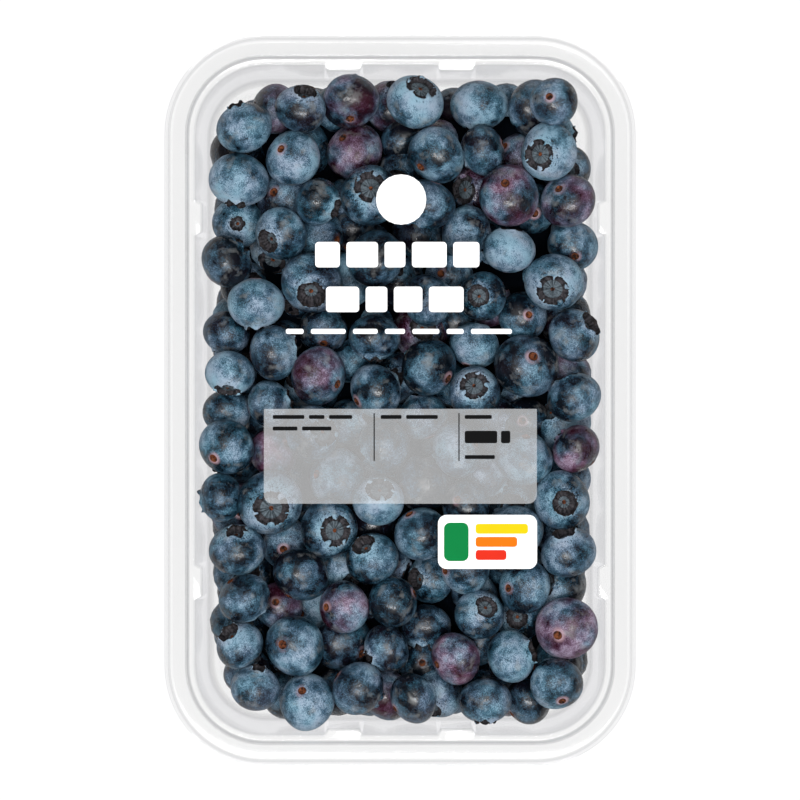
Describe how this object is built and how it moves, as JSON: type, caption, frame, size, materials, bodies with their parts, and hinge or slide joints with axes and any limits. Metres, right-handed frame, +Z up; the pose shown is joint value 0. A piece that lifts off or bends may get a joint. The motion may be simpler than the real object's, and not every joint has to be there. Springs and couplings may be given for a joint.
{
  "type": "punnet of blueberries",
  "caption": "Shut rectangular punnet of blueberries: clear thermoformed tray with round corners and a flange, clear film sealed on top, heap of fruit inside.",
  "frame": {"origin": "middle of the tray's footprint, on the surface it stands on", "axes": "+Z up, +Y along the punnet, +X across it"},
  "size_m": [0.1226, 0.19, 0.056],
  "materials": {
    "clear_tray": "clear gloss",
    "clear_film": "clear gloss film",
    "berry_skin": "dark blue skin under pale waxy bloom"
  },
  "bodies": {
    "root": {"tray": "clear_tray", "berries": "berry_skin", "lid_film": "clear_film"}
  },
  "joints": []
}
